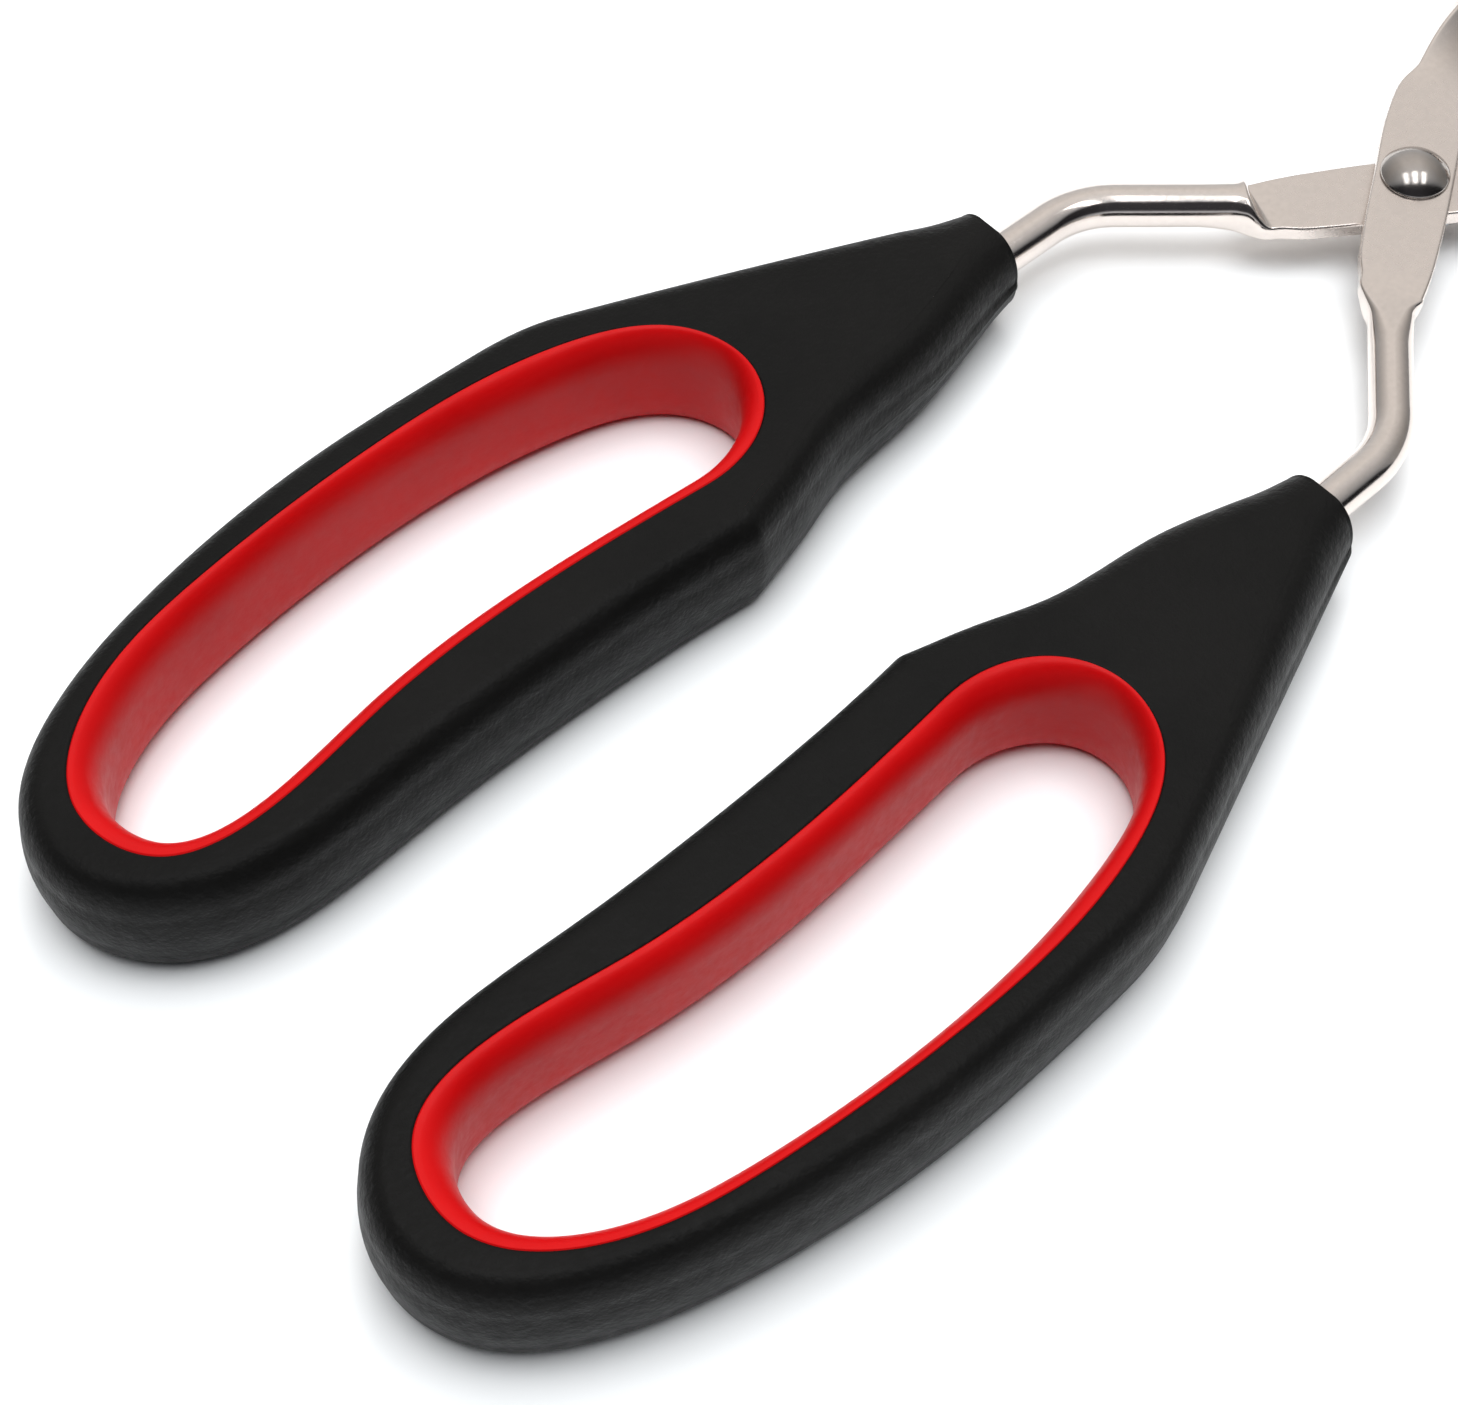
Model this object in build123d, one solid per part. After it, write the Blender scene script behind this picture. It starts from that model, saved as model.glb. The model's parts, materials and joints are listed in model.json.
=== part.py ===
from build123d import *
from math import asin, atan2, cos, degrees, hypot, pi, radians, sin, tan
import os

# Scissor-action kitchen tongs with a return spring, in millimetres, standing in their rest pose.
# The frame: +X runs along the tongs from the finger loops to the jaws, +Y is to the left, +Z is up.
# The origin is the centre of the bounding box's base, and the tongs lie on Z = 0.
# One half (tang, neck, plate, jaw, handle and liner) is drawn about the pivot with its handle on the
# left. The other half is the same set of pieces turned over, half a turn about the X axis.

# Driving dimensions
PIVOT_X = 52.57           # pivot axis from the middle of the tongs
HANDLE_T = 18.0           # thickness of the finger loops
STEM_END = (12.8, 14.4)   # width and thickness of the stem where the steel leaves it
STEM_END_R = 5.4          # rounding of that nearly oval end section
STEM_TAPER_X = (-110, -53)    # where the stem starts to thin and where it ends
EDGE_R = 3.4              # rounding of the loops' outer edges
STEM_CORNER_R = 1.0       # rounding of the stem end's upright edges
NOTCH_R = 2.0             # rounding of the notch's upright edge
RIM_R = 1.8               # rounding of the liner's inner edges
TONGUE = (1.2, 4.0)       # depth and height of the liner's tongue in the black moulding
CLOSE_ANGLE = 7.6         # travel of one half against the other from rest to closed

ROD_D = 6.0               # stainless rod that each arm is pressed from
ROD_ROUND = 2.99          # corner radius that makes a square section of the rod's width round
PLATE_W = 10.8            # width of the pressed plate at the pivot
PLATE_T = 2.4
PLATE_EDGE = 0.4          # chamfer along the edges of the pressed steel
PLATE_GAP = 0.3           # gap between the two plates, filled by the friction washer
RUNNING = 0.05            # radial clearance of a running fit
FACE_GAP = 0.02           # axial clearance beside a washer

JAW_T = 1.8               # thickness of the flattened jaw
JAW_TIP_X = 100.0         # tip of the jaws from the pivot
PAD_CENTRE_X = 85.0       # middle of the scalloped gripping pad
PAD_HALF = (14.6, 8.0)    # half length and half height of the pad under its scallops
SCALLOPS = 20             # scallops round a whole pad
RIB_R = 0.9
RIB_RISE = 0.5            # height of a gripping rib over the pad's face
RIB_HEIGHT = 10.0
RIB_PITCH = 5.0
RIB_COUNT = 4
JAW_CLEAR = 0.15          # from a rib's crest to the plane where the closed jaws meet
STRIP_SPREAD = 1.6        # how much wider each side of the jaw is where the pad begins
PAD_LEAD = 8.0            # distance before the pad's middle at which the strip meets it

ANCHOR = (3.8, 9.0, 9.0)  # thickness, width and length of the tang's flattened end in the moulding
ANCHOR_R = 0.8
THROUGH = 60.0            # length of a tool that cuts right through a piece

RIVET_D = 5.0
RIVET_HEAD = (9.6, 2.7)   # diameter and height of the domed head
RIVET_TAIL = (8.0, 1.2)
RIVET_RIM = 0.4           # straight rim below either dome
WASHER_D = 9.4
RETAINER_T = 0.6
WIRE_D = 1.4              # spring wire
COIL_R = 3.9              # mean radius of the spring's coil
COIL_TURNS = 1            # whole turns beyond the part turn between the legs
COIL_PITCH = 1.5
LEG_END = (46.0, 15.7)    # where a spring leg ends, beside a jaw arm
LEG_END_Z = -4.0          # its height from the middle of the tongs

HALF_T = HANDLE_T / 2

# Outline of a handle at its widest level: from the notch round the loop to the straight outer side
LOOP_EDGE = [
    (-110.4, 11.4), (-125, 12.7), (-144, 13.4), (-164, 13.2), (-182.2, 12.9), (-197, 17.6), (-205, 30),
    (-202.2, 41.7), (-191.4, 50.5), (-171.2, 57), (-145.2, 60.1), (-121.2, 59.6), (-105.2, 56.7),
]
STEM_CORNERS = [(-53, 36.0), (-53, 23.4)]
LOOP_REACH = 110.0        # length, width and middle of a block that holds the loop with room to spare
LOOP_SPAN = 64.0
LOOP_MIDDLE = 36.0
INNER_EDGE = [(-74.2, 18.8), (-90.7, 17.1), (-100, 14.2)]

# Line where the black moulding meets the liner, and the liner's finger opening
SEAM = [
    (-111.2, 21.3), (-127, 22.8), (-144.2, 23.5), (-162, 22.4), (-179.2, 20), (-194.3, 23.7),
    (-197.3, 35.1), (-188, 46.1), (-167.2, 52.2), (-139.2, 54.1), (-111.2, 51.2), (-96.2, 42.1),
    (-94, 33), (-98.1, 25.3),
]
OPENING = [
    (-111.4, 24.7), (-127, 26), (-144.2, 26.8), (-162, 25.7), (-177.5, 23.4), (-190.9, 26),
    (-193.5, 34.9), (-185.9, 43.6), (-167, 49.5), (-139.2, 51.5), (-112.6, 48.4), (-98.2, 41.2),
    (-95.8, 34), (-100.2, 27.8),
]

# Rod centreline: end of the tang, corner of the neck, end of the rod at the top of the step
TANG_END = (-87.0, 29.6)
NECK_CORNER = (-37.1, 28.7)
ROD_END = (-20.5, 13.9)
NECK_R = 15.0

# Plate: its slanting crease at the foot of the step, and where it reaches its full width
CREASE = (-18.2, 11.6)
CREASE_W = 8.6
CREASE_TURN = 14.0        # slant of the crease in degrees
PLATE_FULL = (-10.0, 6.35)

# Sections of the arm as it leaves the plate and twists on edge:
# x, y, centre height, width, thickness and twist in degrees
TWIST = [
    (10.0, -6.4, -1.35, 10.8, 2.4, 0),
    (18.5, -10.3, -1.3, 7.6, 2.4, 4),
    (25.0, -12.7, -1.0, 8.3, 2.3, 25),
    (32.0, -14.9, -0.6, 8.8, 2.2, 52),
    (39.0, -16.6, -0.2, 9.2, 2.0, 78),
    (45.0, -17.4, 0.0, 9.6, 1.8, 90),
]
BOW = [(54, -17.2), (65, -11.8)]
PAD_START_X = 74.0


def unit(start, end):
    """Unit vector in plan from one point to another."""
    length = hypot(end[0] - start[0], end[1] - start[1])
    return ((end[0] - start[0]) / length, (end[1] - start[1]) / length)


def pad_point(x):
    """Middle of the jaw's thickness along the flat pad, clear of the plane where closed jaws meet."""
    return (x, -x * tan(radians(CLOSE_ANGLE / 2)) - JAW_CLEAR - RIB_RISE - JAW_T / 2)


def across(centre, direction, twist=0):
    """Plane across the arm at a point of its centreline, turned about the arm's direction."""
    flat = Plane(centre, x_dir=(-direction[1], direction[0], 0), z_dir=(direction[0], direction[1], 0))
    return flat.rotated((0, 0, twist))


def flat_section(width, thickness):
    """Section of the pressed steel: a rectangle with its corners cut off."""
    x, y, c = width / 2, thickness / 2, PLATE_EDGE
    return Polygon((x - c, -y), (x, c - y), (x, y - c), (x - c, y),
                   (c - x, y), (-x, y - c), (-x, c - y), (c - x, -y), align=None)


def round_section():
    """Section of the rod, made of as many edges as the pressed steel's section."""
    return RectangleRounded(ROD_D, ROD_D, ROD_ROUND)


def rod():
    """Round rod: tang, and the bent neck up to the plate."""
    path = FilletPolyline(TANG_END, NECK_CORNER, ROD_END, radius=NECK_R)
    tang_direction = unit(TANG_END, NECK_CORNER)
    thickness, width, length = ANCHOR
    round_rod = sweep(across((*TANG_END, 0), tang_direction) * round_section(), path)
    anchor = across((*TANG_END, 0), tang_direction).offset(length / 2) * Box(width, thickness, length)
    return round_rod + fillet(anchor.edges(), ANCHOR_R)


def turned(direction, angle):
    """Direction in plan turned to the left by an angle in degrees."""
    c, s = cos(radians(angle)), sin(radians(angle))
    return (direction[0] * c - direction[1] * s, direction[0] * s + direction[1] * c)


def plate():
    """Step down from the rod, and the pressed plate at the pivot."""
    level = -(PLATE_GAP + PLATE_T) / 2
    along = unit(PLATE_FULL, TWIST[0])
    crease = across((*CREASE, level), turned(along, CREASE_TURN))
    crease_section = crease * flat_section(CREASE_W / cos(radians(CREASE_TURN)), PLATE_T)
    full_section = across((*PLATE_FULL, level), along) * flat_section(PLATE_W, PLATE_T)
    step = loft([across((*ROD_END, 0), unit(NECK_CORNER, ROD_END)) * round_section(), crease_section])
    length = hypot(TWIST[0][0] - PLATE_FULL[0], TWIST[0][1] - PLATE_FULL[1])
    return step + loft([crease_section, full_section], ruled=True) + extrude(full_section, length)


def halfway(first, second):
    """Section half way between two others."""
    return tuple((a + b) / 2 for a, b in zip(first, second))


def twisted_arm():
    """Arm from the plate's shoulder to the upright jaw."""
    rows = [TWIST[0]]
    for first, second in zip(TWIST, TWIST[1:]):
        rows += [halfway(first, second), second]
    sections = []
    for i, (x, y, z, width, thickness, twist) in enumerate(rows):
        before = rows[i - 1] if i else PLATE_FULL
        after = rows[min(i + 1, len(rows) - 1)] if i else rows[0]
        sections.append(across((x, y, z), unit(before, after), twist) * flat_section(width, thickness))
    return loft(sections, ruled=True)


def scalloped_pad():
    """Side view of the gripping pad: an oval with a row of outward scallops."""
    half_length, half_height = PAD_HALF
    corners = []
    for i in range(SCALLOPS + 1):
        angle = 2 * pi * i / SCALLOPS
        corners.append((PAD_CENTRE_X + half_length * cos(angle), half_height * sin(angle)))
    lobes = []
    for start, end in zip(corners, corners[1:]):
        along = unit(start, end)
        rise = 0.28 * hypot(end[0] - start[0], end[1] - start[1])
        middle = ((start[0] + end[0]) / 2 + rise * along[1], (start[1] + end[1]) / 2 - rise * along[0])
        lobes.append(ThreePointArc(start, middle, end))
    return make_face(lobes)


def jaw():
    """Upright bowed strip that ends in the scalloped pad, with gripping ribs on its inner face."""
    x0, y0 = TWIST[-1][:2]
    pad_start = pad_point(PAD_START_X)
    pad_end = pad_point(JAW_TIP_X + JAW_T)
    bow = Spline((x0, y0), *BOW, pad_start,
                 tangents=[unit(TWIST[-2], TWIST[-1]), unit(pad_start, pad_end)])
    strip = trace([bow, Line(pad_start, pad_end)], JAW_T)
    upright = extrude(strip, HANDLE_T / 2, both=True)
    root = TWIST[-1][3] / 2
    wide = root + STRIP_SPREAD
    lead = PAD_CENTRE_X - PAD_LEAD
    blank = Polygon((x0 - root, -root), (x0 - root, root), (lead, wide), (lead, -wide), align=None)
    side = Plane.XZ * (blank + scalloped_pad())
    pressed = upright & extrude(side, THROUGH, both=True)
    sink = JAW_T / 2 + RIB_RISE - RIB_R
    half_close = radians(CLOSE_ANGLE / 2)
    for i in range(RIB_COUNT):
        x, y = pad_point(PAD_CENTRE_X + (i - (RIB_COUNT - 1) / 2) * RIB_PITCH)
        at = Pos(x + sink * sin(half_close), y + sink * cos(half_close), 0)
        pressed += at * Cylinder(RIB_R, RIB_HEIGHT)
    return pressed


def arm(hole_r):
    """One steel arm from tang to jaw, with its pivot hole."""
    body = rod() + plate() + twisted_arm() + jaw()
    return body - Cylinder(hole_r, THROUGH)


def handle_outline():
    """Plan of a handle: loop, straight outer side, stem end and hollow inner side of the stem."""
    outer, inner = STEM_CORNERS
    side_direction = unit(LOOP_EDGE[-1], outer)
    loop = Spline(*LOOP_EDGE, tangents=[(-1, 0.12), side_direction])
    side = Line(LOOP_EDGE[-1], outer)
    end = Line(outer, inner)
    hollow = Spline(inner, *INNER_EDGE, LOOP_EDGE[0], tangents=[(-1, -0.16), (-0.94, -0.28)])
    return make_face([loop, side, end, hollow])


def stem_form():
    """Solid that bounds a handle: level over the loop, then thinning to the stem's oval end."""
    start, end = STEM_TAPER_X
    loop_side = Pos(start - LOOP_REACH / 2, LOOP_MIDDLE, 0) * Box(LOOP_REACH, LOOP_SPAN, HANDLE_T)
    width, thickness = STEM_END
    end_middle = (STEM_CORNERS[0][1] + STEM_CORNERS[1][1]) / 2
    wide = across((start, LOOP_MIDDLE, 0), (1, 0)) * RectangleRounded(LOOP_SPAN, HANDLE_T, EDGE_R)
    oval = across((end, end_middle, 0), (1, 0)) * RectangleRounded(width, thickness, STEM_END_R)
    return loop_side + loft([wide, oval])


def closed_face(points):
    """Face inside a smooth closed curve through the points."""
    return make_face(Spline(*points, periodic=True))


def grown(points, distance):
    """Points of a clockwise outline, each moved outward, square to the line between its neighbours."""
    moved = []
    for i, point in enumerate(points):
        along = unit(points[i - 1], points[(i + 1) % len(points)])
        moved.append((point[0] - distance * along[1], point[1] + distance * along[0]))
    return moved


def liner():
    """Soft lining of a loop: a ring with rounded rims and a tongue held in the black moulding."""
    ring = extrude(closed_face(SEAM), HALF_T, both=True)
    ring -= extrude(closed_face(OPENING), HALF_T + 1, both=True)
    rims = ring.faces().sort_by(Axis.Z)
    inner_rims = [min(face.wires(), key=lambda wire: wire.length).edges() for face in (rims[0], rims[-1])]
    ring = fillet(inner_rims[0] + inner_rims[1], RIM_R)
    tongue = extrude(closed_face(grown(SEAM, TONGUE[0])), TONGUE[1] / 2, both=True)
    return ring + (tongue - extrude(closed_face(SEAM), HALF_T, both=True))


def handle(steel):
    """Black moulding: finger loop and stem, moulded over the tang and round the liner."""
    body = extrude(handle_outline(), HALF_T, both=True)
    stem_edges = body.edges().filter_by(Axis.Z).filter_by(lambda edge: edge.center().X > -60)
    body = fillet(stem_edges, STEM_CORNER_R)
    notch_x = LOOP_EDGE[0][0]
    notch_edge = body.edges().filter_by(Axis.Z).filter_by(lambda edge: abs(edge.center().X - notch_x) < 1)
    body = fillet(notch_edge, NOTCH_R)
    rims = body.edges().filter_by(lambda edge: abs(abs(edge.center().Z) - HALF_T) < 0.01)
    body = fillet(rims, EDGE_R)
    body &= stem_form()
    body -= extrude(closed_face(SEAM), HALF_T + 1, both=True)
    body -= extrude(closed_face(grown(SEAM, TONGUE[0])), TONGUE[1] / 2, both=True)
    return body - steel


def dome(radius, height):
    """Cap of a sphere standing on its flat base, with a short straight rim."""
    rim = RIVET_RIM
    rise = height - rim
    sphere_r = (radius ** 2 + rise ** 2) / (2 * rise)
    blank = Pos(0, 0, height / 2) * Cylinder(radius, height)
    return blank & (Pos(0, 0, height - sphere_r) * Sphere(sphere_r))


def rivet():
    """Rivet with a domed head above the plates and a flatter formed tail under the retaining washer."""
    top = PLATE_GAP / 2 + PLATE_T
    bottom = retainer_level() - RETAINER_T
    head = Pos(0, 0, top) * dome(RIVET_HEAD[0] / 2, RIVET_HEAD[1])
    tail = Pos(0, 0, bottom) * Rot(180, 0, 0) * dome(RIVET_TAIL[0] / 2, RIVET_TAIL[1])
    shank = Pos(0, 0, (top + bottom) / 2) * Cylinder(RIVET_D / 2, top - bottom)
    return head + shank + tail


def coil_sweep():
    """Angle in degrees that the spring's wire turns through, from one leg to the other."""
    half = leg_angle()
    return 360 * COIL_TURNS + 180 - 2 * half


def leg_angle():
    """Angle of a spring leg from the tongs' axis, found for a line tangent to the coil."""
    reach = hypot(*LEG_END)
    return degrees(atan2(LEG_END[1], LEG_END[0]) - asin(COIL_R / reach))


def coil_height():
    """Height of the coil between the middles of its first and last turns."""
    return COIL_PITCH * coil_sweep() / 360


def retainer_level():
    """Top face of the retaining washer, just under the spring."""
    under_plate = -(PLATE_GAP / 2 + PLATE_T)
    return under_plate - 2 * FACE_GAP - WIRE_D - coil_height()


def spring():
    """Torsion spring round the rivet, under the plates, with a leg against each jaw arm."""
    half = radians(leg_angle())
    top = -(PLATE_GAP / 2 + PLATE_T) - FACE_GAP - WIRE_D / 2
    bottom = top - coil_height()
    start = (-COIL_R * sin(half), COIL_R * cos(half))
    turn = Pos(0, 0, top) * Rot(180, 0, 0) * Rot(0, 0, -90 - leg_angle())
    coil_path = turn * Helix(COIL_PITCH, coil_height(), COIL_R)
    first = coil_path @ 0
    coil = sweep(Plane(first, z_dir=coil_path % 0) * Circle(WIRE_D / 2), coil_path, is_frenet=True)
    legs = []
    for side, level in ((1, top), (-1, bottom)):
        root = Vector(start[0], side * start[1], level)
        end = Vector(LEG_END[0], side * LEG_END[1], LEG_END_Z)
        plane = Plane(root, z_dir=end - root)
        legs.append(extrude(plane * Circle(WIRE_D / 2), (end - root).length))
    return coil + legs[0] + legs[1]


def ring(diameter, hole_r, thickness, top):
    """Flat washer with its top face at a given height."""
    return Pos(0, 0, top - thickness / 2) * (Cylinder(diameter / 2, thickness) - Cylinder(hole_r, thickness))


def turned_over(shape):
    """The same piece for the other half of the tongs."""
    return Rot(180, 0, 0) * shape


def build():
    """All sub-parts in the frame of the pivot."""
    lower = arm(RIVET_D / 2 + RUNNING)
    upper = turned_over(arm(RIVET_D / 2))
    left_handle = handle(lower)
    left_liner = liner()
    return {
        "lower_arm": lower,
        "upper_arm": upper,
        "left_handle": left_handle,
        "right_handle": turned_over(left_handle),
        "left_liner": left_liner,
        "right_liner": turned_over(left_liner),
        "pivot_rivet": rivet(),
        "friction_washer": ring(WASHER_D, RIVET_D / 2 + RUNNING, PLATE_GAP - 2 * FACE_GAP,
                                PLATE_GAP / 2 - FACE_GAP),
        "retaining_washer": ring(WASHER_D, RIVET_D / 2, RETAINER_T, retainer_level()),
        "opening_spring": spring(),
    }


def main():
    os.makedirs("parts", exist_ok=True)
    place = Pos(PIVOT_X, 0, HALF_T)
    for name, shape in build().items():
        placed = place * shape
        export_step(placed, f"parts/{name}.step")
        box = placed.bounding_box()
        print(name, round(placed.volume, 1), [round(v, 2) for v in (*box.min, *box.max)])


main()
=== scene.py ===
import json
import math
import bmesh
import bpy
import numpy as np
from mathutils import Matrix, Vector
from mathutils.geometry import delaunay_2d_cdt


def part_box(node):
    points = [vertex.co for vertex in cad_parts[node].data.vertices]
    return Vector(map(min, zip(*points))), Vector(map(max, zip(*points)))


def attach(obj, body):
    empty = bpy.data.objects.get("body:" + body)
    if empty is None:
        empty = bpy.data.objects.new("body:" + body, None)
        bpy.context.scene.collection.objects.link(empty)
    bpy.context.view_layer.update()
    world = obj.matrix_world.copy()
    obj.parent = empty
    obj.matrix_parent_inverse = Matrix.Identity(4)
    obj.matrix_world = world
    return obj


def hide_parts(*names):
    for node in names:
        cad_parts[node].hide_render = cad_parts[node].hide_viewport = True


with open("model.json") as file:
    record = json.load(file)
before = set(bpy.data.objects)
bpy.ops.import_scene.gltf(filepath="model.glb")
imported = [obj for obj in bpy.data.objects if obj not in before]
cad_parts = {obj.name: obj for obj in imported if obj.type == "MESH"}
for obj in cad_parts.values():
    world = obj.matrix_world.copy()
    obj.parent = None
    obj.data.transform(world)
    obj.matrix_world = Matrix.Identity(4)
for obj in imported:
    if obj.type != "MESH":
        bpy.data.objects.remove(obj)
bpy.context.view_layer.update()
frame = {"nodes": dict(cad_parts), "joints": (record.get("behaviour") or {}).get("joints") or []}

MM = 0.001
SHARP = math.radians(38)
PIVOT = np.array(frame["joints"][0]["pos_m"]) / MM     # hinge point, in millimetres
HALF_T = PIVOT[2]                                       # half the thickness of a finger loop

# ---------------------------------------------------------------- dimensions, mm
# Handle section: draft of the wall, then an elliptical edge rounding that grows along the stem
DRAFT = 0.45
EDGE = (3.6, 5.2)            # width and height of the edge rounding at the loop
STEM_EDGE = (5.5, 6.5)       # the same at the stem's oval end
STEM_X = (-110.0, -53.0)     # where the stem's taper starts and ends, from the pivot
STEM_END_HALF = 7.2
WALL_LEVEL = 3.3             # height above the middle at which the wall clears the tang's hole
STEM_RIM = 0.5               # bevel round the stem's end face
STEM_TURN = (9.0, 6.0)       # how far before the stem's end its rounding turns across, over what length
STEM_END_SPAN = 1.5          # length at the stem's end over which its width is measured
END_FACE = (0.6, 0.5)        # where the stem's end face starts, before its end, and the length of the change
PARTING = (0.03, 0.2)        # rise and half width of the parting line on the stem
PARTING_X = (-96.0, 12.0)    # where the parting line starts, from the pivot, and over what length it fades in
SEAM_DROP = 0.2              # depth of the groove where the liner meets the moulding
# The groove's section: distance from the seam, and share of its depth there
GROOVE = [(0.0, 1.0), (0.07, 0.72), (0.16, 0.4), (0.28, 0.15), (0.45, 0.03), (0.8, 0.0)]
SEAM_LEVEL = 4.0             # height above the middle at which the liner's seam is read from the CAD
OPENING_LEVEL = 1.0          # the same for the finger opening
RIM_HEIGHT = 6.0             # height over which the liner's rim rolls into the opening
LINER_SINK = 0.03            # how far the liner's crown lies below the moulding's face
LINER_SKIRT = 1.2            # depth of the liner's hidden side below its crown
LINER_MAX = 9.0              # no part of the liner is wider than this
SHEET = (1.5, 0.7)           # pitch of the points inside the flat face, and their margin to its rims
OUTLINE_POINTS = 900
LINER_POINTS = 560

ROD_R = 3.0
NECK = [(-74.0, 29.4), (-37.1, 28.7), (-21.3, 14.6)]
NECK_R = 15.0
STEP = (2.4, 9.0)            # length of the step down to the plate, and of the gentle underside
CREASE_SHEAR = -0.30         # slant of the crease between rod and plate
JAW_T = 1.8
CLOSE_HALF = math.radians(3.8)
FACE_OFFSET = 1.55           # middle of the jaw's thickness from the plane where the jaws meet
PAD_CENTRE_X = 85.0
PAD_HALF = (14.6, 7.88)
SCALLOPS = 20
RIB = (0.38, 5.0)            # half height and pitch of the pad's pressed ribs
DISH = 0.5
PRESS = (70.0, 6.0, 5.0)     # where the pressing starts, and how it fades in there and out at the tip
SECTION = (9, 22, 3)         # points on a corner of the arm's section, steps along its long and short sides
# The plastic lip's section: radius, and share of its creep along the rod, or millimetres if below zero
FLASH = [(3.02, -0.6), (3.8, -0.6), (3.62, 0.25), (3.3, 0.75), (3.12, 1.0), (3.02, 0.9)]

POLISH = (17.0, 23.0, 0.5)   # distances from the pivot where the satin plate ends and the bright rod is full

# Arm beyond the plate's start: x, y, height, width, thickness, twist in degrees, edge radius
ARM = [
    (-18.2, 11.6, -1.35, 8.5, 2.4, 0, 0.42),
    (-14.6, 9.3, -1.35, 9.9, 2.4, 0, 0.42),
    (-10.0, 6.35, -1.35, 10.6, 2.4, 0, 0.42),
    (0.0, 0.0, -1.35, 10.9, 2.4, 0, 0.42),
    (9.0, -5.75, -1.35, 10.8, 2.4, 0, 0.42),
    (14.0, -8.5, -1.35, 10.0, 2.4, 0, 0.42),
    (18.5, -10.3, -1.3, 7.8, 2.4, 4, 0.5),
    (25.0, -12.7, -1.0, 8.4, 2.3, 25, 0.5),
    (32.0, -14.9, -0.6, 8.8, 2.2, 52, 0.5),
    (39.0, -16.6, -0.2, 9.2, 2.0, 78, 0.5),
    (45.0, -17.4, 0.0, 9.6, 1.8, 90, 0.45),
    (54.0, -17.1, 0.0, 10.2, 1.8, 90, 0.45),
    (65.0, -11.8, 0.0, 11.6, 1.8, 90, 0.45),
    (74.0, -6.47, 0.0, 12.6, 1.8, 90, 0.45),
]

STRIP = (66.0, 5.8, 6.4)     # where the strip widens to the pad, and its half width there and after
RIVET = (4.8, 2.7, 0.35)     # radius and height of the domed head, height of its rim
TAIL = (4.0, 1.2, 0.3)
COIL = (3.9, 0.7)            # mean radius of the spring's coil and radius of its wire
LEG_END = (46.0, 15.7)
LEG_LEVEL = -4.0


# ---------------------------------------------------------------- numeric helpers
def resample(outline, count, smooth):
    """Evenly spaced points round a closed outline, with its facets smoothed away over a given length."""
    points = np.vstack([outline, outline[:1]])
    step = np.hypot(*np.diff(points, axis=0).T)
    along = np.concatenate([[0], np.cumsum(step)])
    at = np.linspace(0, along[-1], count, endpoint=False)
    even = np.stack([np.interp(at, along, points[:, k]) for k in (0, 1)], 1)
    return smooth_ring(even, max(1, int(smooth / (along[-1] / count))))


def outward(points):
    """Unit normals that point out of a closed outline."""
    tangent = np.roll(points, -1, 0) - np.roll(points, 1, 0)
    tangent /= np.hypot(*tangent.T)[:, None]
    normal = np.stack([tangent[:, 1], -tangent[:, 0]], 1)
    area = np.sum(points[:, 0] * np.roll(points[:, 1], -1) - np.roll(points[:, 0], -1) * points[:, 1])
    return normal if area > 0 else -normal


def smooth_ring(values, reach):
    """Gaussian smoothing of values round a ring."""
    kernel = np.exp(-0.5 * (np.arange(-2 * reach, 2 * reach + 1) / reach) ** 2)
    kernel /= kernel.sum()
    wrapped = np.concatenate([values[-2 * reach:], values, values[:2 * reach]])
    return np.stack([np.convolve(wrapped[:, k], kernel, "valid") for k in range(values.shape[1])], 1)


def hermite(keys, count):
    """Smooth curve through key rows, even in plan length, with no overshoot in its later columns."""
    keys = np.asarray(keys, float)
    chord = np.hypot(*np.diff(keys[:, :2], axis=0).T)
    at = np.concatenate([[0], np.cumsum(chord)])
    secant = np.diff(keys, axis=0) / chord[:, None]
    slope = np.zeros_like(keys)
    slope[0], slope[-1] = secant[0], secant[-1]
    for i in range(1, len(keys) - 1):
        before, after = secant[i - 1], secant[i]
        share = chord[i] / (chord[i - 1] + chord[i])
        slope[i] = share * before + (1 - share) * after
        flat = before * after <= 0
        slope[i, 2:][flat[2:]] = 0
    s = np.linspace(0, at[-1], count)
    k = np.clip(np.searchsorted(at, s, "right") - 1, 0, len(chord) - 1)
    t = ((s - at[k]) / chord[k])[:, None]
    span = chord[k][:, None]
    return ((2 * t ** 3 - 3 * t ** 2 + 1) * keys[k] + (t ** 3 - 2 * t ** 2 + t) * span * slope[k]
            + (3 * t ** 2 - 2 * t ** 3) * keys[k + 1] + (t ** 3 - t ** 2) * span * slope[k + 1])


def smoothstep(t):
    t = np.clip(t, 0, 1)
    return t * t * (3 - 2 * t)


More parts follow.
